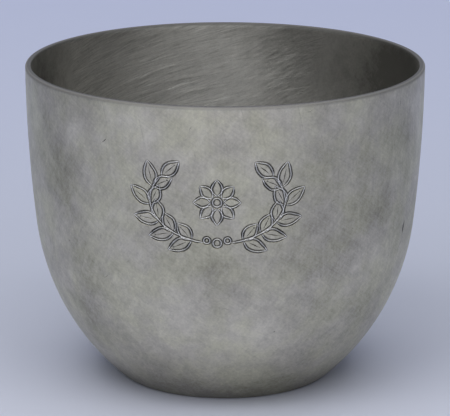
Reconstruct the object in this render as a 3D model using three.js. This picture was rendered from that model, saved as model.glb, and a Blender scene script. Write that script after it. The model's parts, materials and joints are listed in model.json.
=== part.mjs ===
// A pewter drinking cup: a low round-bottomed tumbler with a plain lip and no handle.
// It is made of a spun body, a base disc lapped on the body's foot flange from inside, and the solder seam
// round the disc.
// Millimetres, +Z up. The origin is the middle of the foot, on the surface that the cup stands on.
import * as THREE from "three";

// Driving dimensions: the body's outside
const RIM_DIAMETER = 79.4;
const CUP_HEIGHT = 63.5;
const SHOULDER_HEIGHT = 31.6; // where the upright wall runs into the round of the bowl
const SHOULDER_DRAW_IN = 1.85; // how far the wall has leaned in by the shoulder, on each side
const FOOT_DIAMETER = 40; // the flat that the cup stands on

// Driving dimensions: the sheet and its edges
const WALL = 1.1;
const FOOT_INNER_RADIUS = 1.1; // inside of the turn from the bowl to the foot flange
const LIP_OUTER_ROUND = 0.45;
const LIP_INNER_ROUND = 0.25;
const EDGE_BREAK = 0.2; // chamfer on the edges that were cut with shears

// Driving dimensions: the base disc and its seam
const DISC_THICKNESS = 1.1;
const DISC_LAP = 3.6; // how far the disc overlaps the foot flange
const SEAM_WIDTH = 0.7; // solder between the disc's bevelled edge and the bowl
const SEAM_CLIMB = 0.5; // how far the solder climbs the bowl above the disc
const SOLDER_FILM = 0.1; // clearance that the solder fills between two pieces

// Fineness of the surfaces of revolution
const SEGMENTS = 72;
const WALL_STEPS = 6;
const BOWL_STEPS = 12;
const FOOT_TURN_STEPS = 5;
const LIP_STEPS = 4;
const SEAM_STEPS = 6;

const DOWN = -Math.PI / 2;
const UP = Math.PI / 2;

const pewter = { color: 0x8b8b83, roughness: 0.42, metalness: 1 };
const satinPewter = new THREE.MeshStandardMaterial(pewter);
const turnedPewter = new THREE.MeshStandardMaterial({ ...pewter, color: 0x7f7f78, roughness: 0.5 });
const solder = new THREE.MeshStandardMaterial({ ...pewter, color: 0x74756f, roughness: 0.55 });

// The outline of the body, in the plane of radius (x) and height (y): three arcs, each tangent to the next.
// The wall is upright at the rim, the bowl rounds from the shoulder to the foot, and the turn ends flat
// on the table.
function bodyOutline() {
  const rimRadius = RIM_DIAMETER / 2;
  const wallDrop = CUP_HEIGHT - SHOULDER_HEIGHT;
  const wallRadius = (wallDrop ** 2 + SHOULDER_DRAW_IN ** 2) / (2 * SHOULDER_DRAW_IN);
  const wallCentre = new THREE.Vector2(rimRadius - wallRadius, CUP_HEIGHT);
  const shoulder = new THREE.Vector2(rimRadius - SHOULDER_DRAW_IN, SHOULDER_HEIGHT);
  const outward = shoulder.clone().sub(wallCentre).normalize();

  const turnRadius = FOOT_INNER_RADIUS + WALL;
  const turnCentre = new THREE.Vector2(FOOT_DIAMETER / 2, turnRadius);

  // The bowl's circle touches the wall's circle at the shoulder and holds the turn's circle inside it.
  const reach = shoulder.clone().sub(turnCentre);
  const bowlRadius = (reach.lengthSq() - turnRadius ** 2) / (2 * (outward.dot(reach) - turnRadius));
  const bowlCentre = shoulder.clone().addScaledVector(outward, -bowlRadius);

  return {
    wall: { centre: wallCentre, radius: wallRadius },
    bowl: { centre: bowlCentre, radius: bowlRadius },
    turn: { centre: turnCentre, radius: turnRadius },
    shoulderAngle: outward.angle() - 2 * Math.PI,
    turnAngle: turnCentre.clone().sub(bowlCentre).angle() - 2 * Math.PI,
  };
}

const outline = bodyOutline();

// Points along an arc of a circle, set in from the outline by a distance measured square to it.
function arc({ centre, radius }, inset, from, to, steps) {
  const r = radius - inset;
  return new THREE.EllipseCurve(centre.x, centre.y, r, r, from, to, to < from).getPoints(steps);
}

// A solid of revolution about the vertical axis, from a profile that runs up its outer side.
function revolve(profile) {
  const geometry = new THREE.LatheGeometry(profile, SEGMENTS);
  geometry.rotateX(UP);
  return geometry;
}

function named(name, geometry, material) {
  const mesh = new THREE.Mesh(geometry, material);
  mesh.name = name;
  return mesh;
}

// Radius of the body's inside near the foot, at a height and set in by the solder film.
function insideRadius(height) {
  const inset = WALL + SOLDER_FILM;
  const { bowl, turn, turnAngle } = outline;
  const turnEnd = turn.centre.y + (turn.radius - inset) * Math.sin(turnAngle);
  const { centre, radius } = height < turnEnd ? turn : bowl;
  return centre.x + Math.sqrt(Math.max(0, (radius - inset) ** 2 - (height - centre.y) ** 2));
}

// The disc lies on the flange. Its bevelled edge leaves the seam's width to the bowl at both faces.
const discBottom = WALL + SOLDER_FILM;
const discTop = discBottom + DISC_THICKNESS;
const discBottomRadius = insideRadius(discBottom) - SEAM_WIDTH;
const discTopRadius = insideRadius(discTop) - SEAM_WIDTH;
const openingRadius = discBottomRadius - DISC_LAP;

// The lip: a round tangent to the outside of the wall, a narrow flat, and a round tangent to the inside.
function lipRounds() {
  const { centre, radius } = outline.wall;
  const outerReach = radius - LIP_OUTER_ROUND;
  const innerReach = radius - WALL + LIP_INNER_ROUND;
  const outerAngle = -Math.asin(LIP_OUTER_ROUND / outerReach);
  const innerAngle = -Math.asin(LIP_INNER_ROUND / innerReach);
  const onReach = (reach, angle) =>
    new THREE.Vector2(centre.x + reach * Math.cos(angle), centre.y + reach * Math.sin(angle));
  return {
    outerAngle,
    innerAngle,
    outer: { centre: onReach(outerReach, outerAngle), radius: LIP_OUTER_ROUND },
    inner: { centre: onReach(innerReach, innerAngle), radius: LIP_INNER_ROUND },
  };
}

// The spun body: foot flange, turn, bowl and wall on the outside, over the lip, and back down the inside.
function cupBody() {
  const { wall, bowl, turn, shoulderAngle, turnAngle } = outline;
  const lip = lipRounds();
  const flangeEdge = [
    new THREE.Vector2(openingRadius + EDGE_BREAK, WALL),
    new THREE.Vector2(openingRadius, WALL - EDGE_BREAK),
    new THREE.Vector2(openingRadius, EDGE_BREAK),
    new THREE.Vector2(openingRadius + EDGE_BREAK, 0),
  ];
  const outside = [
    ...arc(turn, 0, DOWN, turnAngle, FOOT_TURN_STEPS),
    ...arc(bowl, 0, turnAngle, shoulderAngle, BOWL_STEPS).slice(1),
    ...arc(wall, 0, shoulderAngle, lip.outerAngle, WALL_STEPS).slice(1),
  ];
  const over = [
    ...arc(lip.outer, 0, lip.outerAngle, UP, LIP_STEPS).slice(1),
    ...arc(lip.inner, 0, UP, Math.PI + lip.innerAngle, LIP_STEPS),
  ];
  const inside = [
    ...arc(wall, WALL, lip.innerAngle, shoulderAngle, WALL_STEPS).slice(1),
    ...arc(bowl, WALL, shoulderAngle, turnAngle, BOWL_STEPS).slice(1),
    ...arc(turn, WALL, turnAngle, DOWN, FOOT_TURN_STEPS).slice(1),
  ];
  const loop = [...flangeEdge, ...outside, ...over, ...inside];
  return revolve([...loop, loop[0]]);
}

// The base disc: a round of the same sheet with a bevelled edge.
function baseDisc() {
  return revolve([
    new THREE.Vector2(0, discBottom),
    new THREE.Vector2(discBottomRadius, discBottom),
    new THREE.Vector2(discTopRadius, discTop),
    new THREE.Vector2(0, discTop),
  ]);
}

// The solder seam: it fills the groove between the disc's edge and the bowl, and its top is a hollow fillet.
function solderSeam() {
  const bottomInner = new THREE.Vector2(discBottomRadius + SOLDER_FILM, discBottom);
  const topInner = new THREE.Vector2(discTopRadius + SOLDER_FILM, discTop);
  const seamHeight = DISC_THICKNESS + SEAM_CLIMB;
  const againstBowl = Array.from({ length: SEAM_STEPS + 1 }, (_, i) => {
    const height = discBottom + seamHeight * (i / SEAM_STEPS) ** 2;
    return new THREE.Vector2(insideRadius(height), height);
  });
  const highest = againstBowl[SEAM_STEPS];
  const hollow = new THREE.Vector2((highest.x + topInner.x) / 2, discTop);
  const fillet = new THREE.QuadraticBezierCurve(highest, hollow, topInner).getPoints(SEAM_STEPS);
  return revolve([bottomInner, ...againstBowl, ...fillet.slice(1), bottomInner]);
}

const cup = new THREE.Group();
cup.add(named("cup_body", cupBody(), satinPewter));
cup.add(named("base_disc", baseDisc(), turnedPewter));
cup.add(named("solder_seam", solderSeam(), solder));

export default cup;
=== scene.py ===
# %% [markdown]
# A satin pewter cup
# The cup is a low tumbler: a thin wall that is almost upright, a round bowl below it, a small flat foot
# and a plain rounded lip. The CAD model is loaded first as a fixed frame, because every piece made here
# stands in the same place, at the same size, as the solid that it dresses.

# %% Load the frame
import json
import math

import bmesh
import bpy
import numpy as np
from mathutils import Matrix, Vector
from mathutils.geometry import delaunay_2d_cdt

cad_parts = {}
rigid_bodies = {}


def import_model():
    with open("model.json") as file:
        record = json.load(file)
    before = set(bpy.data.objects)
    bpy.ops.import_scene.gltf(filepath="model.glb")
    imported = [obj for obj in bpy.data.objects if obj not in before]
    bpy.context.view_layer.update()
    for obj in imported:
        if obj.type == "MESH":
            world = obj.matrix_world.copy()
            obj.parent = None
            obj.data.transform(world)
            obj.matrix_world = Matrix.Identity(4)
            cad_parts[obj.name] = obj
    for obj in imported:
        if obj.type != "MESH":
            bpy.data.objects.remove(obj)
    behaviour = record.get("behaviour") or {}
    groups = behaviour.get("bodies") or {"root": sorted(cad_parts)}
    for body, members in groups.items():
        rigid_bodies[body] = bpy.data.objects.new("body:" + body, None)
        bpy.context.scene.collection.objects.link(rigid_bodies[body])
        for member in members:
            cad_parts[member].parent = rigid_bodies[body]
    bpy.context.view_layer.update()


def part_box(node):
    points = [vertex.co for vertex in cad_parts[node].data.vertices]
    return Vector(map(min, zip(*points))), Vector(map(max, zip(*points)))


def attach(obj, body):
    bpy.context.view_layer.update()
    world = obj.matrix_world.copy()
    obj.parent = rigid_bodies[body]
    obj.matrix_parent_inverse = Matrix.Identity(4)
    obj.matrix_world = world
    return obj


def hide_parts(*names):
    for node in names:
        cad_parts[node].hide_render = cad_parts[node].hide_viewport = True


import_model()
scene = bpy.context.scene
scene.view_settings.view_transform = "Standard"

# %% [markdown]
# The outline of the cup
# A spun cup is a solid of revolution, so one outline describes it. Three arcs, each tangent to the next,
# make the outside: the wall, the bowl and the turn into the foot. The inside is the same outline, set in
# by the thickness of the sheet. Rim and height are read from the frame, and the rest are plain sizes.

# %% Sizes of the outline
MM = 0.001
body_low, body_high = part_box("cup_body")
disc_low, disc_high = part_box("base_disc")
_, seam_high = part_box("solder_seam")
RIM_RADIUS = (body_high.x - body_low.x) / 2
CUP_HEIGHT = body_high.z
SHOULDER_HEIGHT = 31.6 * MM
SHOULDER_DRAW_IN = 1.85 * MM
FOOT_RADIUS = 20.0 * MM
FOOT_INNER_RADIUS = 1.1 * MM
WALL = 1.1 * MM
LIP_OUTER_ROUND = 0.45 * MM
LIP_INNER_ROUND = 0.25 * MM
OPENING_RADIUS = 15.7 * MM
EDGE_BREAK = 0.2 * MM
print(f"rim {2 * RIM_RADIUS / MM:.1f} mm across, height {CUP_HEIGHT / MM:.1f} mm")

# %% Solve the three arcs
wall_drop = CUP_HEIGHT - SHOULDER_HEIGHT
wall_radius = (wall_drop ** 2 + SHOULDER_DRAW_IN ** 2) / (2 * SHOULDER_DRAW_IN)
wall_centre = Vector((RIM_RADIUS - wall_radius, CUP_HEIGHT))
shoulder = Vector((RIM_RADIUS - SHOULDER_DRAW_IN, SHOULDER_HEIGHT))
outward = (shoulder - wall_centre).normalized()
turn_radius = FOOT_INNER_RADIUS + WALL
turn_centre = Vector((FOOT_RADIUS, turn_radius))
reach = shoulder - turn_centre
bowl_radius = (reach.length_squared - turn_radius ** 2) / (2 * (outward.dot(reach) - turn_radius))
bowl_centre = shoulder - outward * bowl_radius
shoulder_angle = math.atan2(outward.y, outward.x)
turn_angle = math.atan2(turn_centre.y - bowl_centre.y, turn_centre.x - bowl_centre.x)
print(f"arcs: wall {wall_radius / MM:.1f} mm, bowl {bowl_radius / MM:.1f} mm, turn {turn_radius / MM:.1f} mm")


# %% Points along the outline
SAME_POINT = 1e-7  # points closer than this, in metres, are one point


def arc(centre, radius, start, end, step):
    """Points (radius, height) along an arc, at most a step apart."""
    count = max(2, math.ceil(abs(end - start) * radius / step))
    angles = np.linspace(start, end, count + 1)
    return [(centre[0] + radius * math.cos(t), centre[1] + radius * math.sin(t)) for t in angles]


def line(start, end, step):
    """Points along a straight stretch of the outline, at most a step apart."""
    count = max(1, math.ceil(math.dist(start, end) / step))
    return [tuple(point) for point in np.linspace(start, end, count + 1)]


def joined(*stretches):
    """One run of points, without the doubled point where two stretches meet."""
    points = list(stretches[0])
    for stretch in stretches[1:]:
        meets = math.dist(points[-1], stretch[0]) < SAME_POINT
        points += stretch[1:] if meets else stretch
    return points


def radius_at(height, inset=0.0):
    """Radius of the body at a height, set in by a distance square to the outline."""
    if height > shoulder.y:
        centre, size = wall_centre, wall_radius
    elif height > turn_centre.y + (turn_radius - inset) * math.sin(turn_angle):
        centre, size = bowl_centre, bowl_radius
    else:
        centre, size = turn_centre, turn_radius
    return centre.x + math.sqrt(max(0, (size - inset) ** 2 - (height - centre.y) ** 2))


def lip_round(reach_out, round_radius):
    """Centre and lower angle of a round at the lip, tangent to the wall inside or outside."""
    angle = -math.asin(round_radius / reach_out)
    return wall_centre + Vector((math.cos(angle), math.sin(angle))) * reach_out, angle


lip_outer, lip_outer_angle = lip_round(wall_radius - LIP_OUTER_ROUND, LIP_OUTER_ROUND)
lip_inner, lip_inner_angle = lip_round(wall_radius - WALL + LIP_INNER_ROUND, LIP_INNER_ROUND)
print(f"lip: {(lip_outer.x - lip_inner.x) / MM:.2f} mm flat on top, between its two rounds")

# %% The body's outline
FINE_STEP = 0.09 * MM
OUTSIDE_STEP = 0.6 * MM
INSIDE_STEP = 0.9 * MM
UNDERSIDE_STEP = 0.5 * MM
FLANGE_STEP = 1.0 * MM
underside = line((OPENING_RADIUS + EDGE_BREAK, 0), (FOOT_RADIUS, 0), UNDERSIDE_STEP)
outside = joined(
    arc(turn_centre, turn_radius, -math.pi / 2, turn_angle, 2 * FINE_STEP),
    arc(bowl_centre, bowl_radius, turn_angle, shoulder_angle, OUTSIDE_STEP),
    arc(wall_centre, wall_radius, shoulder_angle, lip_outer_angle, OUTSIDE_STEP),
    arc(lip_outer, LIP_OUTER_ROUND, lip_outer_angle, math.pi / 2, FINE_STEP),
)
inside = joined(
    arc(lip_inner, LIP_INNER_ROUND, math.pi / 2, math.pi + lip_inner_angle, FINE_STEP),
    arc(wall_centre, wall_radius - WALL, lip_inner_angle, shoulder_angle, INSIDE_STEP),
    arc(bowl_centre, bowl_radius - WALL, shoulder_angle, turn_angle, INSIDE_STEP),
    arc(turn_centre, FOOT_INNER_RADIUS, turn_angle, -math.pi / 2, 2 * FINE_STEP),
    line((FOOT_RADIUS, WALL), (OPENING_RADIUS + EDGE_BREAK, WALL), FLANGE_STEP),
)
opening_edge = joined(
    line((OPENING_RADIUS + EDGE_BREAK, WALL), (OPENING_RADIUS, WALL - EDGE_BREAK), EDGE_BREAK),
    line((OPENING_RADIUS, WALL - EDGE_BREAK), (OPENING_RADIUS, EDGE_BREAK), WALL),
    line((OPENING_RADIUS, EDGE_BREAK), (OPENING_RADIUS + EDGE_BREAK, 0), EDGE_BREAK),
)
print(f"outline points: outside {len(outside)}, inside {len(inside)}")

# %% [markdown]
# The camera
# The photograph was taken from the front with a long lens, a little above the rim. A camera could be
# turned by eye until the picture fits, but the oval of the rim and the outline of the bowl give its
# distance, height and focal length directly, so they are plain numbers here.

# %% Camera at the photograph's angle
IMAGE_WIDTH = 450
FOCAL_PIXELS = 2979
CAMERA_DISTANCE = 600 * MM
CAMERA_ELEVATION = math.radians(15.15)
AIM_HEIGHT = 33.41 * MM
SENSOR_WIDTH = 36
NEAR_CLIP = 10 * MM
FAR_CLIP = 20

camera_data = bpy.data.cameras.new("camera")
camera_data.sensor_width = SENSOR_WIDTH
camera_data.lens = FOCAL_PIXELS / IMAGE_WIDTH * SENSOR_WIDTH
camera = bpy.data.objects.new("camera", camera_data)
scene.collection.objects.link(camera)
aim = Vector((0, 0, AIM_HEIGHT))
view_back = Vector((0, -math.cos(CAMERA_ELEVATION), math.sin(CAMERA_ELEVATION)))
camera.location = aim + view_back * CAMERA_DISTANCE
camera.rotation_mode = "QUATERNION"
camera.rotation_quaternion = (-view_back).to_track_quat("-Z", "Y")
camera_data.clip_start = NEAR_CLIP
camera_data.clip_end = FAR_CLIP
scene.camera = camera
print(f"camera lens {camera_data.lens:.1f} mm at {CAMERA_DISTANCE} m")


# %% [markdown]
# Helpers for node materials
# A finish can be a painted picture or a set of nodes. Every finish here is made of nodes, from the cup's
# own coordinates in millimetres, so a stain or a scratch keeps its real size and needs no picture.

# %% Node helpers
def add(tree, kind, inputs=None, **settings):
    """A new node with its settings, and with numbers or other nodes' outputs on its inputs."""
    node = tree.nodes.new(kind)
    for key, value in settings.items():
        setattr(node, key, value)
    for key, value in (inputs or {}).items():
        if isinstance(value, bpy.types.NodeSocket):
            tree.links.new(value, node.inputs[key])
        else:
            node.inputs[key].default_value = value
    return node


def math_node(tree, operation, *values):
    return add(tree, "ShaderNodeMath", dict(enumerate(values)), operation=operation).outputs[0]


def weighted(tree, start, *pairs):
    """A start value plus several values, each times its weight."""
    total = start
    for value, weight in pairs:
        total = math_node(tree, "MULTIPLY_ADD", value, weight, total)
    return total


def layered(tree, start, layers, weights):
    """A start value plus the named layers: each field of a layer times that layer's weight."""
    pairs = [(field, weight) for name, weight in weights.items() for field in layers[name]]
    return weighted(tree, start, *pairs)


def remap(tree, value, low, high, to_low=0.0, to_high=1.0, kind="LINEAR"):
    """A value stretched from one range to another, and held within it."""
    inputs = {"Value": value, "From Min": low, "From Max": high, "To Min": to_low, "To Max": to_high}
    return add(tree, "ShaderNodeMapRange", inputs, interpolation_type=kind).outputs[0]


def noise(tree, vector, scale, detail=3.0, roughness=0.5, distortion=0.0):
    inputs = {"Vector": vector, "Scale": scale, "Detail": detail}
    inputs.update({"Roughness": roughness, "Distortion": distortion})
    return add(tree, "ShaderNodeTexNoise", inputs).outputs["Fac"]


def mix_colour(tree, factor, first, second, blend="MIX"):
    inputs = {"Factor": factor, 6: first, 7: second}
    return add(tree, "ShaderNodeMix", inputs, data_type="RGBA", blend_type=blend).outputs[2]


def mix_value(tree, factor, first, second):
    return add(tree, "ShaderNodeMix", {"Factor": factor, 2: first, 3: second}, data_type="FLOAT").outputs[0]


def stretched(tree, vector, scale):
    """Coordinates squeezed along some axes, which draws a noise out into streaks."""
    return add(tree, "ShaderNodeVectorMath", {0: vector, 1: scale}, operation="MULTIPLY").outputs[0]


def new_material(name):
    material = bpy.data.materials.new(name)
    material.use_nodes = True
    material.node_tree.nodes.clear()
    return material, material.node_tree


def report(material):
    print("finish", material.name, "has", len(material.node_tree.nodes), "nodes")


# %% [markdown]
# Pewter
# Pewter is a grey tin alloy. This cup was rubbed to a satin finish and then left to dull, so the metal is
# covered with soft stains, faint rubbing marks and a few pits. All of that could be painted, but noises
# drawn out in different directions do the same from nodes: the stains change colour and roughness, and
# the rubbing marks and pits are a very shallow bump.

# %% Parts that the finishes share
MEAN_RADIUS = 38.0
LINE_DETAIL = 3.0
LINE_ROUGHNESS = 0.6
PIT_FLOOR = 0.3
PITTED_SHARE = 0.25


def cup_position(tree):
    """The cup's own coordinates in millimetres, and the height alone."""
    plain = add(tree, "ShaderNodeTexCoord").outputs["Object"]
    position = stretched(tree, plain, (1 / MM, 1 / MM, 1 / MM))
    return position, add(tree, "ShaderNodeSeparateXYZ", {0: position}).outputs[2]


def rubbing(tree, position, height, slope, across, along, low, high):
    """Fine lines that climb the wall at a slope in degrees: 0 on plain metal, 1 in the middle of a line.

    Turning the coordinates in step with the height lays the lines as a helix, so they close without a seam.
    """
    turn = math_node(tree, "MULTIPLY", height, 1 / (MEAN_RADIUS * math.tan(math.radians(slope))))
    twisted = add(tree, "ShaderNodeVectorRotate", {"Vector": position, "Angle": turn}, rotation_type="Z_AXIS")
    streaks = stretched(tree, twisted.outputs[0], (across, across, along))
    return remap(tree, noise(tree, streaks, 1.0, LINE_DETAIL, LINE_ROUGHNESS), low, high)


def rubbing_lines(tree, position, height, ways, sharpness):
    """A field of lines for each way of rubbing: (slope, lines per millimetre across them and along them)."""
    return [rubbing(tree, position, height, *way, *sharpness) for way in ways]


def pits(tree, position, spacing, size):
    """Small round pits, in a share of the cells of a grid, with spacing and size in millimetres."""
    cells = add(tree, "ShaderNodeTexVoronoi", {"Vector": position, "Scale": 1 / spacing}).outputs
    near = remap(tree, cells["Distance"], size / spacing, PIT_FLOOR * size / spacing)
    pick = add(tree, "ShaderNodeSeparateColor", {0: cells["Color"]}).outputs[0]
    return math_node(tree, "MULTIPLY", near, math_node(tree, "GREATER_THAN", pick, 1 - PITTED_SHARE))


def metal(tree, colour, rough, relief, depth):
    """Bare metal with a colour, a roughness and a shallow relief of some depth in metres."""
    bump = add(tree, "ShaderNodeBump", {"Strength": 1.0, "Distance": depth, "Height": relief}).outputs[0]
    inputs = {"Base Color": colour, "Metallic": 1.0, "Roughness": rough, "Normal": bump}
    shader = add(tree, "ShaderNodeBsdfPrincipled", inputs)
    add(tree, "ShaderNodeOutputMaterial", {0: shader.outputs[0]})


# %% [markdown]
# Stains and painted shade
# Tarnish doesn't spread evenly: it leaves darker and paler patches as large as a thumb print. Some patches
# are painted light and shade instead: the outside is paler left of the middle and darker on the right, and
# the inside is painted dark at both sides. One noise could give such patches anywhere, but these have their
# own places on the cup, so each is a soft ball of tone about a point of the wall. Its edge wanders with a
# noise, and the sheet cuts through the ball.

# %% Stains
# Each stain is (azimuth in degrees, height and radius in mm, amount): below 0 it is dark, above 0 it is pale.
# The patch where the inside was rubbed more steeply is given in the same way.
# Partly tarnish, partly painted light and shade: the pale patches left of the middle and the dark ones on the
# right stand in for light from the left.
OUTSIDE_STAINS_AND_SHADE = [
    (-52, 46, 7, -0.9), (-57, 54, 6, -0.5), (-48, 17, 8, -0.95), (-50, 27, 7, -0.6), (27, 48, 6, -0.4),
    (52, 41, 6, -0.9), (-1, 56, 4, -0.4), (-1, 31, 6, -0.5), (18, 32, 7, -0.5), (37, 35, 8, -0.7),
    (44, 48, 8, -0.5), (63, 51, 7, -0.5), (28, 54, 6, -0.3), (30, 26, 8, -0.5), (63, 36, 8, -0.4),
    (-38, 45, 8, 0.2), (-26, 6, 6, -0.4), (-28, 59, 8, 0.9), (-46, 55, 4, 0.7), (38, 61, 5, 0.5),
    (11, 17, 6, 0.9), (-20, 21, 9, 0.5), (-7, 14, 9, 0.6), (-26, 40, 9, 0.1), (-9, 62, 5, 0.5),
    (21, 63, 5, 0.5), (50, 18, 8, -0.7), (26, 8, 6, -0.5), (95, 50, 8, -0.6), (120, 30, 9, 0.5),
    (150, 55, 7, 0.5), (175, 40, 8, -0.7), (-110, 45, 8, 0.5), (-140, 28, 8, -0.6), (-165, 56, 6, -0.4),
    (80, 20, 8, 0.5), (-90, 18, 8, 0.4), (27, 38, 6, -0.4), (-78, 57, 8, 0.6), (77, 58, 7, 0.6),
]
INSIDE_STAINS = [
    (-127, 56, 10, -0.2), (180, 44, 12, 0.3), (-148, 54, 11, 0.3), (152, 53, 10, -0.4), (158, 63, 7, -0.6),
    (178, 64, 5, -0.4), (0, 50, 12, 0.3), (40, 40, 10, -0.4), (-60, 42, 12, -0.3), (-20, 20, 10, 0.4),
    (166, 61, 6, -0.4),
]
# Painted shade: dark patches at both sides of the inside, where its far wall lies in shade.
INSIDE_SIDE_SHADE = [(106, 57, 15, -1.4), (128, 54, 13, -0.75), (-101, 57, 13, -1.4)]
STEEPLY_RUBBED = [(162, 52, 12, 1.0)]
OUTSIDE_WANDER = 5.0
INSIDE_WANDER = 2.5
WANDER_SCALE = 0.16
WANDER_DETAIL = 4.0
STAIN_EDGE = 1.5
NOISE_MEAN = 0.5
print("stains:", len(OUTSIDE_STAINS_AND_SHADE), "outside,", len(INSIDE_STAINS) + len(INSIDE_SIDE_SHADE), "inside")


def at(radius, azimuth, height):
    """A point on the cup. Azimuth 0 faces the viewer, and grows to the viewer's right."""
    return (radius * math.sin(azimuth), -radius * math.cos(azimuth), height)


def soft_patches(tree, position, stains, wander_by):
    """The sum of some soft patches, stains and painted shade among them, each with a soft edge that wanders
    by some millimetres.
    """
    inputs = {"Vector": position, "Scale": WANDER_SCALE, "Detail": WANDER_DETAIL}
    wander = add(tree, "ShaderNodeTexNoise", inputs)
    inputs = {0: wander.outputs["Color"], 1: (NOISE_MEAN,) * 3}
    centred = add(tree, "ShaderNodeVectorMath", inputs, operation="SUBTRACT").outputs[0]
    inputs = {0: centred, 1: (2 * wander_by,) * 3, 2: position}
    moved = add(tree, "ShaderNodeVectorMath", inputs, operation="MULTIPLY_ADD").outputs[0]
    spots = []
    for degrees, height, size, amount in stains:
        place = at(radius_at(height * MM) / MM, math.radians(degrees), height)
        away = add(tree, "ShaderNodeVectorMath", {0: moved, 1: place}, operation="DISTANCE").outputs["Value"]
        spots.append((remap(tree, away, STAIN_EDGE * size, 0.0, kind="SMOOTHSTEP"), amount))
    return weighted(tree, 0.0, *spots)


# %% [markdown]
# The lip
# Lips and cloths wear the edge of a cup, and here the worn edge has gone rough and grey. Its colour is also
# darkened as painted shade that cancels the highlights of the panels, most on the narrow flat that faces up.
# It could have a finish of its own, but then its border would be a hard line, so the finishes of both sides
# fade into it with the height instead.

# %% Lip
TARNISH = (0.05, 0.05, 0.047, 1)
# Painted shade: the lip's colours are darkened to cancel its highlights, and the flat that faces up the most.
SHADED_DULL_LIP = (0.37, 0.365, 0.357, 1)
SHADED_INNER_LIP = (0.28, 0.277, 0.27, 1)
SHADED_LIP_FLAT = (0.245, 0.245, 0.248, 1)
DULL_ROUGHNESS = 0.8
LIP_RANGE = (62.75, 63.4)
FLAT_RANGE = (0.96, 1.0)


def lip_worn_and_shaded(tree, height, colour, rough, shaded_lip_colour):
    """Colour and roughness with a rough, grey lip, whose colour is darkened as painted shade that cancels its
    highlights, most on the upward-facing flat.
    """
    normal = add(tree, "ShaderNodeTexCoord").outputs["Normal"]
    upward = add(tree, "ShaderNodeSeparateXYZ", {0: normal}).outputs[2]
    dull_and_shaded = remap(tree, height, *LIP_RANGE)
    shaded_flat_top = math_node(tree, "MULTIPLY", dull_and_shaded, remap(tree, upward, *FLAT_RANGE))
    colour = mix_colour(tree, dull_and_shaded, colour, shaded_lip_colour)
    colour = mix_colour(tree, shaded_flat_top, colour, SHADED_LIP_FLAT)
    return colour, mix_value(tree, dull_and_shaded, rough, DULL_ROUGHNESS)


# %% [markdown]
# The outside
# The wall was spun on a lathe, rubbed with abrasive in several directions and handled for years. One noise
# would look like clouds on plain grey, so the layers of that history are made one by one, each with the size
# that it has on the metal, and summed to a tone between a dark and a pale pewter. One more layer is painted
# shade, which darkens the wall towards the foot.

# %% Cuts of the graver
# The mesh says where its points lie in a groove, and where on the land between two grooves, whose colour is a
# painted highlight.
# Painted highlight: the land between two grooves is near white, partly fresh metal and partly the glint of
# the cut's walls.
FRESH_CUT_HIGHLIGHT = (0.97, 0.96, 0.93, 1)
HIGHLIGHT_RANGE = (0.0, 0.4)
GROOVE_RANGE = (0.05, 0.5)
FILLING_NOISE = (0.45, 3.0, 0.6)
FILLING_RANGE = (0.38, 0.62)
FILLING_AMOUNT = (0.72, 0.96)


def cut_by_graver(tree, position, colour):
    """A colour with lands painted near white, partly fresh metal and partly a painted highlight, and with
    grooves unevenly filled with dark oxide.
    """
    groove = add(tree, "ShaderNodeAttribute", attribute_name="groove").outputs["Fac"]
    highlit_land = add(tree, "ShaderNodeAttribute", attribute_name="highlit_land").outputs["Fac"]
    colour = mix_colour(tree, remap(tree, highlit_land, *HIGHLIGHT_RANGE), colour, FRESH_CUT_HIGHLIGHT)
    filled = remap(tree, noise(tree, position, *FILLING_NOISE), *FILLING_RANGE, *FILLING_AMOUNT)
    in_groove = math_node(tree, "MULTIPLY", remap(tree, groove, *GROOVE_RANGE), filled)
    return mix_colour(tree, in_groove, colour, TARNISH)


# %% Layers of the outside
# Noises are (cells per millimetre, detail, roughness, distortion), and pits (spacing and size in mm).
OUTSIDE_NOISES = {
    "clouds": (0.07, 4.0, 0.55, 0.5),
    "mottle": (0.3, 4.0, 0.55, 0.3),
    "flecks": (0.9, 4.0, 0.65),
    "speckle": (2.4, 3.0, 0.7),
}
SPUN_STRETCH = (0.07, 0.07, 2.4)
SPUN_NOISE = (1.0, 4.0, 0.6)
RUBBED_WAYS = [(84, 1.7, 0.16), (-57, 1.5, 0.14), (34, 1.6, 0.2)]
SCRATCHED_WAYS = [(78, 3.6, 0.06), (-38, 3.6, 0.07), (14, 3.2, 0.08)]
SOFT_LINES = (0.3, 0.7)
THIN_LINES = (0.66, 0.74)
OUTSIDE_PITS = (5.0, 0.22)
FOOT_SHADE_RANGE = (7.0, 0.5)


def outside_layers(tree, position, height):
    """The fields that the outside is made of, by name."""
    layers = {name: [noise(tree, position, *recipe)] for name, recipe in OUTSIDE_NOISES.items()}
    layers["patches"] = [soft_patches(tree, position, OUTSIDE_STAINS_AND_SHADE, OUTSIDE_WANDER)]
    layers["spun"] = [noise(tree, stretched(tree, position, SPUN_STRETCH), *SPUN_NOISE)]
    layers["rubs"] = rubbing_lines(tree, position, height, RUBBED_WAYS, SOFT_LINES)
    layers["scratches"] = rubbing_lines(tree, position, height, SCRATCHED_WAYS, THIN_LINES)
    layers["pitting"] = [pits(tree, position, *OUTSIDE_PITS)]
    # Painted shade: the wall darkens towards the foot, where the floor beside it lies in the cup's shade.
    layers["foot_shade"] = [remap(tree, height, *FOOT_SHADE_RANGE)]
    return layers


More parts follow.
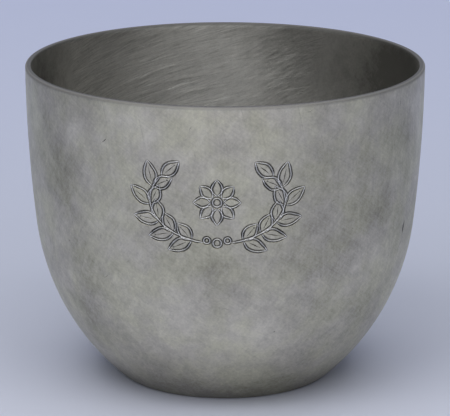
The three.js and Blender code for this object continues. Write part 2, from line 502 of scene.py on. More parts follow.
# %% Outside finish
# Weights say how far a layer makes the metal paler, or lifts its surface.
PALE_PEWTER = (0.732, 0.70, 0.598, 1)
DARK_PEWTER = (0.328, 0.313, 0.269, 1)
NEUTRAL_TINT = (1.0, 0.995, 1.01, 1)
OLIVE_TINT = (1.0, 1.01, 0.94, 1)
OLIVE_NOISE = (0.11, 4.0, 0.6)
OLIVE_RANGE = (0.4, 0.6)
OUTSIDE_TONE = {"patches": 0.34, "clouds": 0.5, "mottle": 0.6, "flecks": 0.3, "speckle": 0.5, "spun": 0.15,
                "foot_shade": -0.5, "rubs": 0.14, "scratches": -0.25}
OUTSIDE_TONE_START = -0.725
OUTSIDE_RELIEF = {"speckle": 0.9, "spun": 0.8, "pitting": -6.0, "rubs": 0.5, "scratches": -1.2}
OUTSIDE_DEPTH = 4e-6
OUTSIDE_PIT_TARNISH = 0.6
DARK_ROUGHNESS = 0.54
PALE_GLOSS = -0.14


def outside_finish():
    material, tree = new_material("cup_satin")
    position, height = cup_position(tree)
    layers = outside_layers(tree, position, height)
    tone = layered(tree, OUTSIDE_TONE_START, layers, OUTSIDE_TONE)
    colour = mix_colour(tree, tone, DARK_PEWTER, PALE_PEWTER)
    olive = remap(tree, noise(tree, position, *OLIVE_NOISE), *OLIVE_RANGE)
    tint = mix_colour(tree, olive, NEUTRAL_TINT, OLIVE_TINT)
    colour = mix_colour(tree, 1.0, colour, tint, "MULTIPLY")
    pitted = math_node(tree, "MULTIPLY", layers["pitting"][0], OUTSIDE_PIT_TARNISH)
    colour = mix_colour(tree, pitted, colour, TARNISH)
    rough = weighted(tree, DARK_ROUGHNESS, (tone, PALE_GLOSS))
    colour, rough = lip_worn_and_shaded(tree, height, colour, rough, SHADED_DULL_LIP)
    colour = cut_by_graver(tree, position, colour)
    metal(tree, colour, rough, layered(tree, 0.0, layers, OUTSIDE_RELIEF), OUTSIDE_DEPTH)
    return material


satin = outside_finish()
report(satin)

# %% [markdown]
# The inside
# The inside was scoured by hand, in long strokes that climb the wall and cross each other. Both of its sides
# are painted dark as shade, and the strokes fade out there. It could share the finish of the outside, but its
# lines are coarser and follow the hand, so it has layers of its own.

# %% Lines of the inside
INSIDE_RUBBED_WAYS = [(8, 0.5, 0.5), (15, 0.9, 0.32), (23, 1.3, 0.26)]
INSIDE_STEEP_WAYS = [(25, 0.5, 0.5), (31, 0.9, 0.32), (38, 1.3, 0.26)]
INSIDE_PALE_SCRATCHES = [(14, 1.5, 0.18), (22, 2.2, 0.18)]
INSIDE_DARK_SCRATCHES = [(21, 2.0, 0.14), (9, 1.0, 0.26)]
INSIDE_THIN_LINES = (0.64, 0.72)
MEAN_RUB = 0.5


def inside_lines(tree, position, height, shaded_sides):
    """Rubbing and scratches of the inside, steeper in one patch, which fade where the sides are painted dark
    as shade.
    """
    def lines(ways, sharpness):
        return rubbing_lines(tree, position, height, ways, sharpness)

    def faded(fields, plain):
        return [mix_value(tree, shaded_sides, field, plain) for field in fields]

    steep_patch = soft_patches(tree, position, STEEPLY_RUBBED, INSIDE_WANDER)
    pairs = zip(lines(INSIDE_RUBBED_WAYS, SOFT_LINES), lines(INSIDE_STEEP_WAYS, SOFT_LINES))
    rubs = [mix_value(tree, steep_patch, flat, steep) for flat, steep in pairs]
    return {
        "rubs": faded(rubs, MEAN_RUB),
        "pale": faded(lines(INSIDE_PALE_SCRATCHES, INSIDE_THIN_LINES), 0.0),
        "dark": faded(lines(INSIDE_DARK_SCRATCHES, INSIDE_THIN_LINES), 0.0),
    }


# %% Inside finish
INSIDE_PALE = (0.92, 0.91, 0.87, 1)
INSIDE_DARK = (0.24, 0.237, 0.222, 1)
INSIDE_NOISES = {
    "clouds": (0.07, 4.0, 0.55, 0.5),
    "mottle": (0.4, 4.0, 0.6, 0.3),
    "speckle": (2.0, 3.0, 0.7),
}
SHADED_SIDES_RANGE = (-0.005, -0.15)
INSIDE_TONE = {"patches": 0.5, "clouds": 0.4, "mottle": 0.5, "speckle": 0.4, "rubs": 0.29, "pale": 0.35,
               "dark": -0.4}
INSIDE_TONE_START = -0.445
INSIDE_RELIEF = {"speckle": 0.5, "pitting": -5.0, "rubs": 1.0, "pale": -1.5, "dark": -1.5}
INSIDE_DEPTH = 6e-6
INSIDE_PITS = (6.0, 0.25)
INSIDE_PIT_TARNISH = 0.5
MIDDLE_RANGE = (0.3, 0.7)
INSIDE_ROUGHNESS = (0.45, 0.38)


def inside_finish():
    material, tree = new_material("cup_inside")
    position, height = cup_position(tree)
    side_shade = soft_patches(tree, position, INSIDE_SIDE_SHADE, INSIDE_WANDER)
    layers = inside_lines(tree, position, height, remap(tree, side_shade, *SHADED_SIDES_RANGE))
    layers.update({name: [noise(tree, position, *recipe)] for name, recipe in INSIDE_NOISES.items()})
    patches = soft_patches(tree, position, INSIDE_STAINS, INSIDE_WANDER)
    layers["patches"] = [math_node(tree, "ADD", side_shade, patches)]
    layers["pitting"] = [pits(tree, position, *INSIDE_PITS)]
    tone = layered(tree, INSIDE_TONE_START, layers, INSIDE_TONE)
    colour = mix_colour(tree, tone, INSIDE_DARK, INSIDE_PALE)
    pitted = math_node(tree, "MULTIPLY", layers["pitting"][0], INSIDE_PIT_TARNISH)
    colour = mix_colour(tree, pitted, colour, TARNISH)
    rough = remap(tree, layers["mottle"][0], *MIDDLE_RANGE, *INSIDE_ROUGHNESS)
    colour, rough = lip_worn_and_shaded(tree, height, colour, rough, SHADED_INNER_LIP)
    metal(tree, colour, rough, layered(tree, 0.0, layers, INSIDE_RELIEF), INSIDE_DEPTH)
    return material


rubbed = inside_finish()
report(rubbed)

# %% [markdown]
# The turned faces
# The underside of the foot and the base disc were faced on the lathe, which leaves fine rings about the axis
# with dull hollows. Rings could be modelled one by one, but most are finer than a millimetre, so a noise that
# changes with the radius alone draws them.

# %% Turned finish of the foot and the base disc
TURNED_PALE = (0.59, 0.578, 0.532, 1)
TURNED_DARK = (0.34, 0.334, 0.308, 1)
RINGS_PER_MM = 0.8
RING_NOISE = (1.0, 4.0, 0.75)
TURNED_CLOUDS = (0.12, 5.0, 0.6, 0.4)
SCUFF_STRETCH = (0.08, 1.6, 1)
SCUFF_NOISE = (1.0, 3.0, 0.6)
SCUFF_RANGE = (0.6, 0.8)
TURNED_PITS = (4.0, 0.25)
TURNED_PIT_TARNISH = 0.5
TURNED_TONE = {"rings": 1.4, "clouds": 0.8}
TURNED_TONE_START = -0.6
TURNED_RELIEF = {"rings": 3.0, "scuffs": -1.0, "pitting": -3.0}
TURNED_DEPTH = 1e-5
TURNED_ROUGHNESS = (0.52, 0.42)


def turned_finish():
    material, tree = new_material("cup_turned")
    position, _ = cup_position(tree)
    flat = stretched(tree, position, (1, 1, 0))
    radius = add(tree, "ShaderNodeVectorMath", {0: flat}, operation="LENGTH").outputs["Value"]
    outwards = math_node(tree, "MULTIPLY", radius, RINGS_PER_MM)
    along_radius = add(tree, "ShaderNodeCombineXYZ", {0: outwards}).outputs[0]
    clouds = noise(tree, position, *TURNED_CLOUDS)
    scuffs = noise(tree, stretched(tree, position, SCUFF_STRETCH), *SCUFF_NOISE)
    pitting = pits(tree, position, *TURNED_PITS)
    layers = {
        "rings": [noise(tree, along_radius, *RING_NOISE)],
        "clouds": [clouds],
        "scuffs": [remap(tree, scuffs, *SCUFF_RANGE)],
        "pitting": [pitting],
    }
    tone = layered(tree, TURNED_TONE_START, layers, TURNED_TONE)
    colour = mix_colour(tree, tone, TURNED_DARK, TURNED_PALE)
    pitted = math_node(tree, "MULTIPLY", pitting, TURNED_PIT_TARNISH)
    colour = mix_colour(tree, pitted, colour, TARNISH)
    rough = remap(tree, clouds, *MIDDLE_RANGE, *TURNED_ROUGHNESS)
    metal(tree, colour, rough, layered(tree, 0.0, layers, TURNED_RELIEF), TURNED_DEPTH)
    return material


turned = turned_finish()
report(turned)

# %% [markdown]
# Solder
# Solder is tin that was melted on the spot, so it has no tool marks: it is a little darker and duller than
# the sheet, with a fine grain. One plain grey would do from afar. Two noises give it that grain close up.

# %% Solder finish
SOLDER_PALE = (0.47, 0.468, 0.447, 1)
SOLDER_DARK = (0.35, 0.35, 0.335, 1)
SOLDER_CLOUDS = (0.5, 5.0, 0.6, 0.6)
SOLDER_GRAIN = (4.0, 3.0, 0.6)
SOLDER_ROUGHNESS = (0.6, 0.48)
SOLDER_DEPTH = 1.2e-5


def solder_finish():
    material, tree = new_material("cup_solder")
    position, _ = cup_position(tree)
    clouds = noise(tree, position, *SOLDER_CLOUDS)
    colour = mix_colour(tree, remap(tree, clouds, *MIDDLE_RANGE), SOLDER_DARK, SOLDER_PALE)
    rough = remap(tree, clouds, *MIDDLE_RANGE, *SOLDER_ROUGHNESS)
    metal(tree, colour, rough, noise(tree, position, *SOLDER_GRAIN), SOLDER_DEPTH)
    return material


solder = solder_finish()
report(solder)

# %% [markdown]
# The engraved ornament
# The front carries a small engraving. Each line was cut with two strokes of the graver side by side: the two
# grooves fill with tarnish, and the narrow land between them is painted near white, partly fresh metal and
# partly a painted highlight, so a line looks white between two dark edges. The ornament is a traditional
# pair of laurel sprays about a rosette. It could be a bump in the material, but real grooves catch the light
# properly and stay in the mesh, so each stroke here is a centre line with a width that tapers towards its
# ends, as a cut does.

# %% Strokes of the ornament
LINE_HALF_WIDTH = 0.39
RIB_HALF_WIDTH = 0.13
GROOVE_PLACE = 0.68
STROKE_STEP = 0.26
STROKE_TAPER = 1.2
STROKE_TIP = 0.3
HAND_WOBBLE = 0.02
WOBBLE_LENGTH = 2.3


def stroke(points, half_width=LINE_HALF_WIDTH, groove_place=GROOVE_PLACE, closed=False):
    """Evenly spaced points along a line: rows of (x, y, half width there, groove's distance from the middle).

    A line has a groove on each side of its land, which is painted as a highlight. With the groove's place at
    0 it is one plain cut.
    """
    points = np.array(points, float)
    if closed:
        points = np.vstack([points, points[:1]])
    run = np.concatenate([[0], np.cumsum(np.hypot(*np.diff(points, axis=0).T))])
    places = np.linspace(0, run[-1], max(3, math.ceil(run[-1] / STROKE_STEP)) + 1)
    wobble = np.zeros_like(places) if closed else HAND_WOBBLE * np.sin(2 * np.pi * places / WOBBLE_LENGTH)
    x = np.interp(places, run, points[:, 0]) + wobble
    y = np.interp(places, run, points[:, 1]) + wobble
    from_end = np.minimum(places, run[-1] - places) / STROKE_TAPER
    tapered = np.clip(STROKE_TIP + (1 - STROKE_TIP) * from_end, STROKE_TIP, 1)
    taper = np.ones_like(places) if closed else tapered
    width = half_width * taper
    return np.column_stack([x, y, width, groove_place * width])


# %% Leaves and sprays
LEAF_POINTS = 25
LEAF_FULLNESS = 0.85
RIB_SHARES = np.array([[0.25], [0.7]])


def leaf(base, angle, length, width):
    """Two edges and a midrib, from the leaf's base along an angle."""
    along = np.array([math.cos(angle), math.sin(angle)])
    across = np.array([-along[1], along[0]])
    shares = np.linspace(0, 1, LEAF_POINTS)[:, None]
    spine = np.array(base) + along * length * shares
    bulge = across * width / 2 * np.sin(np.pi * shares ** LEAF_FULLNESS)
    rib = np.array(base) + along * length * RIB_SHARES
    return [stroke(spine + bulge), stroke(spine - bulge), stroke(rib, RIB_HALF_WIDTH, 0)]


SPRAY_CENTRE = np.array([0.0, 1.0])
SPRAY_HALF_AXES = np.array([13.0, 8.2])
SPRAY_START = math.radians(-79)
SPRAY_END = math.radians(36)
STEM_POINTS = 200
LEAF_PAIRS = 5
FIRST_PAIR = 0.7
LAST_PAIR = 0.5
LEAF_WIDTH = 2.4
OUTER_LEAF = (5.2, 0.7)
INNER_LEAF = (4.3, 0.62)
TIP_LEAF_LENGTH = 4.6


def spray(side):
    """One laurel spray: a bowed stem with leaves in pairs and one at its tip. Side is 1 or -1."""
    turns = np.linspace(SPRAY_START, SPRAY_END, STEM_POINTS)
    stem = SPRAY_CENTRE + SPRAY_HALF_AXES * np.column_stack([np.cos(turns), np.sin(turns)])
    stem *= (side, 1)
    headings = np.arctan2(*np.gradient(stem, axis=0).T[::-1])
    run = np.concatenate([[0], np.cumsum(np.hypot(*np.diff(stem, axis=0).T))])
    strokes = [stroke(stem)]
    for share in (np.arange(LEAF_PAIRS) + FIRST_PAIR) / (LEAF_PAIRS + LAST_PAIR):
        k = np.searchsorted(run, share * run[-1])
        for (length, lean), inward in ((OUTER_LEAF, -side), (INNER_LEAF, side)):
            strokes += leaf(stem[k], headings[k] + inward * lean, length, LEAF_WIDTH)
    return strokes + leaf(stem[-1], headings[-1], TIP_LEAF_LENGTH, LEAF_WIDTH)


# %% Rosette and berries
RING_POINTS = 24
PETALS = 8
ROSETTE_EYE = 0.85
PETAL_START = 1.45
PETAL_LENGTH = 3.3
PETAL_WIDTH = 2.0


def ring(centre, radius):
    turns = np.linspace(0, 2 * np.pi, RING_POINTS + 1)[:-1]
    return stroke(centre + radius * np.column_stack([np.cos(turns), np.sin(turns)]), closed=True)


def rosette():
    """A ring with petals about it."""
    strokes = [ring((0, 0), ROSETTE_EYE)]
    for turn in np.linspace(0, 2 * np.pi, PETALS + 1)[:-1]:
        foot = PETAL_START * ROSETTE_EYE * np.array([math.cos(turn), math.sin(turn)])
        strokes += leaf(foot, turn, PETAL_LENGTH, PETAL_WIDTH)[:2]
    return [cut + np.append(SPRAY_CENTRE, (0, 0)) for cut in strokes]


BERRIES = [(0.0, -7.1, 0.8), (-2.0, -6.6, 0.6), (2.0, -6.6, 0.6)]
berries = [ring((x, y), size) for x, y, size in BERRIES]
ornament = spray(1) + spray(-1) + rosette() + berries
print("ornament:", len(ornament), "strokes,", round(sum(map(len, ornament)) * STROKE_STEP), "mm of line")

# %% [markdown]
# The spun body
# The body is turned from the outline as rings of faces. The ornament's place is left out of the rings and
# filled with a triangulation whose edges follow the strokes, so that every groove has clean sides.
# A real cup is never perfectly round, so the wall also leans and dips by a few hundredths of a millimetre.
# A sculpted or displaced surface would do too, but it would need many more faces for the same lines.

# %% Hand-made unevenness
# A wave is (number round the cup, phase, lean per mm of height, size in mm), and a dent (azimuth in
# degrees, height, radius and depth in mm). Both fade out towards the foot, which stays flat and round.
WAVES = [(2, 0.7, 0.0, 0.030), (3, 0.0, -0.06, 0.018), (7, 1.9, 0.11, 0.012), (11, 0.0, -0.23, 0.008)]
DENTS = [(24, 51, 4.0, 0.05), (-47, 38, 5.0, 0.06), (63, 30, 4.5, 0.05), (118, 47, 5.0, 0.07),
         (171, 35, 4.0, 0.06), (-133, 52, 4.5, 0.05), (-96, 25, 5.0, 0.06)]
TRUE_BELOW = 3
FADE_HEIGHT = 12


def unevenness(azimuth, height):
    """How far the sheet stands out from a true round, in metres: slow waves and a few shallow dents."""
    z = height / MM
    out = sum(size * math.sin(count * azimuth + phase + lean * z) for count, phase, lean, size in WAVES)
    for degrees, dent_height, size, depth in DENTS:
        turn = math.remainder(azimuth - math.radians(degrees), 2 * math.pi)
        out -= depth * math.exp(-((turn * MEAN_RADIUS) ** 2 + (z - dent_height) ** 2) / size ** 2)
    return out * MM * min(1, max(0, (z - TRUE_BELOW) / FADE_HEIGHT))


def wall_point(azimuth, height, outwards=0.0):
    """A point on the outside of the upright wall, or off it by a distance."""
    return at(radius_at(height) + unevenness(azimuth, height) + outwards, azimuth, height)


print("unevenness:", len(WAVES), "waves and", len(DENTS), "dents")


# %% Mesh from points and faces
def finish_mesh(name, verts, faces, sharp_degrees, materials, slots=None, marks=None):
    """An object from points and faces, shaded smooth except at edges sharper than an angle."""
    mesh = bpy.data.meshes.new(name)
    mesh.from_pydata(verts, [], faces)
    for k, polygon in enumerate(mesh.polygons):
        polygon.use_smooth = True
        polygon.material_index = slots[k] if slots else 0
    for mark, values in (marks or {}).items():
        mesh.attributes.new(mark, "FLOAT", "POINT").data.foreach_set("value", values)
    build = bmesh.new()
    build.from_mesh(mesh)
    bmesh.ops.remove_doubles(build, verts=build.verts, dist=SAME_POINT)
    unused = [vertex for vertex in build.verts if not vertex.link_faces]
    bmesh.ops.delete(build, geom=unused, context="VERTS")
    build.to_mesh(mesh)
    build.free()
    mesh.set_sharp_from_angle(angle=math.radians(sharp_degrees))
    for material in materials:
        mesh.materials.append(material)
    obj = bpy.data.objects.new(name, mesh)
    scene.collection.objects.link(obj)
    return obj


# %% Engraving a window of the wall
GROOVE_DEPTH_RATIO = 0.8
DEEPEST_CUT = 0.15
PANEL_RADIUS = 39.0
PANEL_PITCH = 0.6
PLAIN_EDGE = 0.2
STROKE_CLEARANCE = LINE_HALF_WIDTH + PLAIN_EDGE
NO_WIDTH = 1e-6


def engraving(x, y, strokes):
    """At points of a window: depth of the cuts, groove and highlit land (painted as a highlight) from 0 to 1,
    distance to a stroke.
    """
    groove, depth, highlit_land = np.zeros_like(x), np.zeros_like(x), np.zeros_like(x)
    nearest = np.full_like(x, np.inf)
    for cut in strokes:
        for (x0, y0, w0, g0), (x1, y1, w1, g1) in zip(cut[:-1], cut[1:]):
            dx, dy = x1 - x0, y1 - y0
            share = np.clip(((x - x0) * dx + (y - y0) * dy) / (dx * dx + dy * dy), 0, 1)
            away = np.hypot(x - x0 - share * dx, y - y0 - share * dy)
            middle = g0 + (g1 - g0) * share
            half = w0 + (w1 - w0) * share - middle
            here = np.clip(1 - np.abs(away - middle) / half, 0, 1)
            groove = np.maximum(groove, here)
            depth = np.maximum(depth, np.minimum(GROOVE_DEPTH_RATIO * half * here, DEEPEST_CUT))
            land = middle - half
            highlit_land = np.maximum(highlit_land, np.where(land > 0, 1 - away / np.maximum(land, NO_WIDTH), 0))
            nearest = np.minimum(nearest, away)
    return depth * (1 - highlit_land), groove * (1 - highlit_land), highlit_land, nearest


def window_points(border, strokes):
    """Points and edges that a window's triangles must use: its border, lines along each cut, plain metal."""
    points = list(border)
    edges = [(k, (k + 1) % len(border)) for k in range(len(border))]
    for cut in strokes:
        along = np.gradient(cut[:, :2], axis=0)
        across = np.column_stack([-along[:, 1], along[:, 0]]) / np.hypot(*along.T)[:, None]
        width, middle = cut[:, 2:3], cut[:, 3:4]
        offsets = [0 * width, width, -width]
        if middle.any():
            offsets += [middle, -middle, 2 * middle - width, width - 2 * middle]
        for offset in offsets:
            first = len(points)
            points += list(cut[:, :2] + across * offset)
            edges += [(first + k, first + k + 1) for k in range(len(cut) - 1)]
    low, high = np.min(border, axis=0), np.max(border, axis=0)
    x, y = np.meshgrid(np.arange(low[0], high[0], PANEL_PITCH), np.arange(low[1], high[1], PANEL_PITCH))
    x[1::2] += PANEL_PITCH / 2
    from_border = np.minimum(np.minimum(x - low[0], high[0] - x), np.minimum(y - low[1], high[1] - y))
    keep = (engraving(x, y, strokes)[3] > STROKE_CLEARANCE) & (from_border > PANEL_PITCH / 2)
    points += list(zip(x[keep], y[keep]))
    return points, edges


# %% Windows to engrave
# A window is (azimuth of its middle in degrees, its height in mm, strokes about that middle in mm).
# Besides the ornament there are a few nicks, each (azimuth, height, length, tilt in degrees, half width).
ORNAMENT_PLACE = (-2.2, 44.0)
NICKS = [(66.9, 33.6, 2.2, 84, 0.62), (-38.3, 36.2, 0.9, 78, 0.1), (-35.2, 55.4, 0.9, 40, 0.16),
         (58.4, 60.2, 1.2, 85, 0.16), (-37.7, 27.8, 0.7, 30, 0.1), (0.3, 23.2, 0.6, -20, 0.1),
         (-9.4, 59.4, 0.6, 55, 0.09), (31.8, 43.8, 0.6, 15, 0.1), (23.3, 61.9, 0.5, 0, 0.1),
         (112, 52.0, 1.6, 20, 0.2), (146, 40.0, 2.4, -35, 0.2), (-168, 47.0, 1.4, 75, 0.2),
         (-121, 57.0, 1.8, 10, 0.2), (-84, 41.0, 1.5, -60, 0.2)]
windows = [(*ORNAMENT_PLACE, ornament)]
for degrees, height, length, tilt, half_width in NICKS:
    half = length / 2 * np.array([math.cos(math.radians(tilt)), math.sin(math.radians(tilt))])
    windows.append((degrees, height, [stroke([-half, half], half_width, 0)]))
print("windows: the ornament and", len(NICKS), "nicks")

# %% Rings of the body
SEGMENTS = 240
AZIMUTH_STEP = 2 * math.pi / SEGMENTS
loop = joined(underside, outside, inside, opening_edge)[:-1]
first_outside = len(underside) - 1
last_outside = first_outside + len(outside) - 1
SATIN_SLOT, RUBBED_SLOT, TURNED_SLOT = 0, 1, 2


def ring_slot(i):
    """Which finish the faces above ring i have."""
    if i < first_outside or i >= len(loop) - len(opening_edge):
        return TURNED_SLOT
    return SATIN_SLOT if i <= last_outside else RUBBED_SLOT


def window_cells(degrees, height, strokes):
    """The first and last rings and columns round a window, with a margin about its strokes."""
    margin = STROKE_CLEARANCE + PANEL_PITCH
    low = np.min([cut.min(axis=0) for cut in strokes], axis=0)[:2] - margin
    high = np.max([cut.max(axis=0) for cut in strokes], axis=0)[:2] + margin
    heights = np.array([z / MM for _, z in loop[first_outside:last_outside]])
    row_low = first_outside + np.searchsorted(heights, height + low[1]) - 1
    row_high = first_outside + np.searchsorted(heights, height + high[1])
    columns = (math.radians(degrees) + np.array([low[0], high[0]]) / PANEL_RADIUS) / AZIMUTH_STEP
    return row_low, row_high, math.floor(columns[0]), math.ceil(columns[1])


azimuths = np.arange(SEGMENTS) * AZIMUTH_STEP
verts = [at(r + unevenness(azimuth, z), azimuth, z) for r, z in loop for azimuth in azimuths]
cells = [window_cells(*window) for window in windows]
left_out = {(i, j % SEGMENTS) for a, b, c, d in cells for i in range(a, b) for j in range(c, d)}
faces, slots = [], []
for i in range(len(loop)):
    above = (i + 1) % len(loop) * SEGMENTS
    for j in range(SEGMENTS):
        k = (j + 1) % SEGMENTS
        if (i, j) not in left_out:
            faces.append((i * SEGMENTS + j, i * SEGMENTS + k, above + k, above + j))
            slots.append(ring_slot(i))
print("rings:", len(loop), "windows left out of them:", len(windows))

# %% Fill the windows
INSIDE_BORDER = 1  # the kind of triangulation that stays within the window's border
MERGE_DISTANCE = 1e-5
grooves, highlit_lands = [0.0] * len(verts), [0.0] * len(verts)
for (degrees, height, strokes), (row_low, row_high, column_low, column_high) in zip(windows, cells):
    rows, columns = range(row_low, row_high + 1), range(column_low, column_high + 1)
    rim = [(row_low, j) for j in columns] + [(i, column_high) for i in rows[1:]]
    rim += [(row_high, j) for j in reversed(columns[:-1])] + [(i, column_low) for i in reversed(rows[1:-1])]
    middle = math.radians(degrees)
    border = [((j * AZIMUTH_STEP - middle) * PANEL_RADIUS, loop[i][1] / MM - height) for i, j in rim]
    points, edges = window_points(border, strokes)
    points = [Vector(point) for point in points]
    mesh_parts = delaunay_2d_cdt(points, edges, [], INSIDE_BORDER, MERGE_DISTANCE)
    flat, _, triangles, sources, _, _ = mesh_parts
    x, y = np.array([tuple(point) for point in flat]).T
    depth, groove, highlit_land, _ = engraving(x, y, strokes)
    index = []
    for k, source in enumerate(sources):
        on_rim = [s for s in source if s < len(rim)]
        if on_rim:
            i, j = rim[on_rim[0]]
            index.append(i * SEGMENTS + j % SEGMENTS)
            continue
        index.append(len(verts))
        grooves.append(groove[k])
        highlit_lands.append(highlit_land[k])
        verts.append(wall_point(middle + x[k] / PANEL_RADIUS, (height + y[k]) * MM, -depth[k] * MM))
    faces += [tuple(index[k] for k in triangle) for triangle in triangles]
    slots += [SATIN_SLOT] * len(triangles)
print("window points:", len(verts) - len(loop) * SEGMENTS)

# %% Finish the body
SHARP_DEGREES = 24
marks = {"groove": grooves, "highlit_land": highlit_lands}
cup = finish_mesh("spun_body", verts, faces, SHARP_DEGREES, [satin, rubbed, turned], slots, marks)
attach(cup, "root")
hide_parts("cup_body")
triangle_count = sum(len(polygon.vertices) - 2 for polygon in cup.data.polygons)
print("body:", len(cup.data.vertices), "points,", triangle_count, "triangles")

# %% [markdown]
# Base disc and solder
# The bottom is closed by a separate round of sheet that lies on the foot's flange, held by a seam of solder
# run round its edge. Both were left as the lathe and the iron made them: faint rings on the disc, and a
# fillet of solder that is never quite even. A screw modifier could spin both outlines, but the solder has to
# change round the cup, so one function lays the rings of both and moves each point by a wobble.

# %% Turned pieces
def turned_rings(points, wobble=None):
    """Rings of faces from an outline that runs up the outer side, each point moved by a wobble."""
    ring_verts = []
    for r, z in points:
        for azimuth in azimuths:
            dr, dz = wobble(r, z, azimuth) if wobble else (0, 0)
            ring_verts.append(at(r + dr, azimuth, z + dz))
    ring_faces = []
    for i in range(len(points) - 1):
        low, high = i * SEGMENTS, (i + 1) * SEGMENTS
        for j in range(SEGMENTS):
            k = (j + 1) % SEGMENTS
            ring_faces.append((low + j, low + k, high + k, high + j))
    return ring_verts, ring_faces


# %% Base disc
DISC_BOTTOM_RADIUS = 19.3 * MM
DISC_RING_STEP = 0.6 * MM
DISC_EDGE_STEP = 0.3 * MM
TOOL_MARK = 0.006 * MM
TOOL_MARKS_PER_MM = 2.1


def faced(radius_from, radius_to, height):
    """A flat face with shallow tool marks, from one radius to another."""
    points = line((radius_from, height), (radius_to, height), DISC_RING_STEP)
    return [(r, z + TOOL_MARK * math.sin(r / MM * TOOL_MARKS_PER_MM)) for r, z in points]


disc_outline = joined(
    faced(0, DISC_BOTTOM_RADIUS, disc_low.z),
    line((DISC_BOTTOM_RADIUS, disc_low.z), (disc_high.x, disc_high.z), DISC_EDGE_STEP),
    faced(disc_high.x, 0, disc_high.z),
)
disc = finish_mesh("base_round", *turned_rings(disc_outline), SHARP_DEGREES, [turned])
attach(disc, "root")
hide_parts("base_disc")
print("disc:", len(disc.data.polygons), "faces")

# %% Solder seam
SEAM_OVERLAP = 0.3 * MM
SEAM_SINK = 0.06 * MM
SEAM_EDGE = 0.03 * MM
SEAM_HOLLOW = 0.06 * MM
SEAM_TUCK = 0.02 * MM
SEAM_POINTS = 9
SEAM_SHARP_DEGREES = 40
RIPPLES = [(23, 0.0, 0.05), (37, 1.0, 0.04), (9, 2.0, 0.05)]
RIPPLE_START = 0.1 * MM
INNER_EDGE_RIPPLE = -0.9
OUTER_EDGE_RIPPLE = 0.6
RIPPLE_LIFT = 0.3


def seam_wobble(radius, height, azimuth):
    """The solder's edges wander a little, and its top has soft ripples."""
    if height < disc_high.z - RIPPLE_START:
        return 0, 0
    ripple = sum(size * math.sin(count * azimuth + phase) for count, phase, size in RIPPLES) * MM
    sideways = INNER_EDGE_RIPPLE if radius < disc_high.x else OUTER_EDGE_RIPPLE
    return ripple * sideways, abs(ripple) * RIPPLE_LIFT


heights = np.linspace(disc_low.z, seam_high.z, SEAM_POINTS)
wall_side = [(radius_at(z, WALL) + SEAM_SINK, z) for z in heights]
top_outer = np.array(wall_side[-1])
top_inner = np.array([disc_high.x - SEAM_OVERLAP, disc_high.z + SEAM_EDGE])
hollow = np.array([(top_outer[0] + top_inner[0]) / 2, disc_high.z + SEAM_HOLLOW])
shares = np.linspace(0, 1, SEAM_POINTS)[:, None]
fillet = (1 - shares) ** 2 * top_outer + 2 * shares * (1 - shares) * hollow + shares ** 2 * top_inner
below = [(top_inner[0], disc_high.z - SEAM_TUCK), (DISC_BOTTOM_RADIUS, disc_low.z), wall_side[0]]
seam_outline = joined(wall_side, [tuple(point) for point in fillet], below)
seam_rings = turned_rings(seam_outline, seam_wobble)
seam = finish_mesh("solder_fillet", *seam_rings, SEAM_SHARP_DEGREES, [solder])
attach(seam, "root")
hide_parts("solder_seam")
print("seam:", len(seam.data.polygons), "faces")

# %% [markdown]
# Floor and light
# The cup stands on a pale lavender sheet under wide, soft light: a large panel behind the camera, two
# panels above it, one overhead and a weak one behind the cup. The sheet is painted darker in a band through
# and just behind the cup, as the cup's shadow. Satin metal shows what is around it, so the dark sides of the
# room matter as much as the panels: they make the darker bands near the cup's edges.

# %% Floor
FLOOR_HALF = 3.0
FRONT_SHEET = (0.755, 0.79, 0.925, 1)
# Painted shadow: the near sheet is darker than the front and far ones, as the cup's shadow.
SHADED_NEAR_SHEET = (0.655, 0.694, 0.826, 1)
FAR_SHEET = (0.71, 0.765, 1.0, 1)
FRONT_RANGE = (-0.04, 0.06)
FAR_RANGE = (0.06, 0.4)
SHEET_ROUGHNESS = 0.9
SHEET_SHINE = 0.1


def pale_sheet():
    """A matt sheet that changes colour slowly with the depth, painted darkest in a band just behind the cup
    as its shadow, and that can be seen through from below.
    """
    material, tree = new_material("pale_sheet")
    plain = add(tree, "ShaderNodeTexCoord").outputs["Object"]
    depth = add(tree, "ShaderNodeSeparateXYZ", {0: plain}).outputs[1]
    colour = mix_colour(tree, remap(tree, depth, *FRONT_RANGE), FRONT_SHEET, SHADED_NEAR_SHEET)
    colour = mix_colour(tree, remap(tree, depth, *FAR_RANGE), colour, FAR_SHEET)
    inputs = {"Base Color": colour, "Roughness": SHEET_ROUGHNESS, "Specular IOR Level": SHEET_SHINE}
    shader = add(tree, "ShaderNodeBsdfPrincipled", inputs)
    see_through = add(tree, "ShaderNodeBsdfTransparent")
    from_below = add(tree, "ShaderNodeNewGeometry").outputs["Backfacing"]
    mix = add(tree, "ShaderNodeMixShader", {0: from_below, 1: shader.outputs[0], 2: see_through.outputs[0]})
    add(tree, "ShaderNodeOutputMaterial", {0: mix.outputs[0]})
    return material


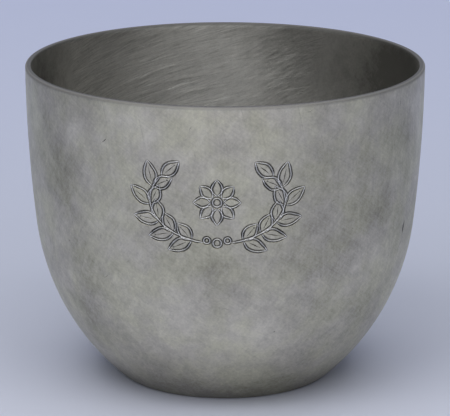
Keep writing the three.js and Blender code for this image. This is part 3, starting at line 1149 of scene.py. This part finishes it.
floor_mesh = bpy.data.meshes.new("floor")
corners = [(-1, -1), (1, -1), (1, 1), (-1, 1)]
floor_mesh.from_pydata([(x * FLOOR_HALF, y * FLOOR_HALF, 0) for x, y in corners], [], [(0, 1, 2, 3)])
floor_mesh.materials.append(pale_sheet())
floor = bpy.data.objects.new("floor", floor_mesh)
scene.collection.objects.link(floor)
print("floor:", 2 * FLOOR_HALF, "m square")


# %% Soft boxes
# A panel is (azimuth and elevation in degrees, distance, width and height in m, radiance, colour).
WHITE = (1, 1, 1)
COOL = (0.8, 0.92, 1.3)
PANELS = {
    "front_panel": (0, 22, 1.6, (2.6, 1.2), 0.88, WHITE),
    "high_left_panel": (-42, 52, 1.3, (0.8, 0.8), 1.52, WHITE),
    "high_right_panel": (42, 52, 1.3, (0.8, 0.8), 0.72, WHITE),
    "top_panel": (0, 88, 1.1, (1.3, 1.3), 1.4, WHITE),
    "back_panel": (180, 28, 1.4, (1.8, 0.9), 0.35, COOL),
}


def soft_box(name, azimuth, elevation, distance, size, radiance, colour):
    """A rectangular soft box that faces the cup. Azimuth 0 is the viewer's side, and grows to the right."""
    data = bpy.data.lights.new(name, "AREA")
    data.shape = "RECTANGLE"
    data.size, data.size_y = size
    data.energy = radiance * math.pi * size[0] * size[1]
    data.color = colour
    light = bpy.data.objects.new(name, data)
    scene.collection.objects.link(light)
    a, e = math.radians(azimuth), math.radians(elevation)
    back = Vector((math.sin(a) * math.cos(e), -math.cos(a) * math.cos(e), math.sin(e)))
    light.location = aim + back * distance
    light.rotation_mode = "QUATERNION"
    light.rotation_quaternion = (-back).to_track_quat("-Z", "Y")
    light.visible_camera = False


for name, panel in PANELS.items():
    soft_box(name, *panel)

# %% Room
ROOM_COLOUR = (0.022, 0.0235, 0.032, 1)


def dim_room():
    """A dim room round the panels, the same for everything that looks at it."""
    world = bpy.data.worlds.new("room")
    scene.world = world
    world.use_nodes = True
    tree = world.node_tree
    tree.nodes.clear()
    room = add(tree, "ShaderNodeBackground", {"Color": ROOM_COLOUR, "Strength": 1.0})
    add(tree, "ShaderNodeOutputWorld", {0: room.outputs[0]})


dim_room()
print("room:", scene.world.name)
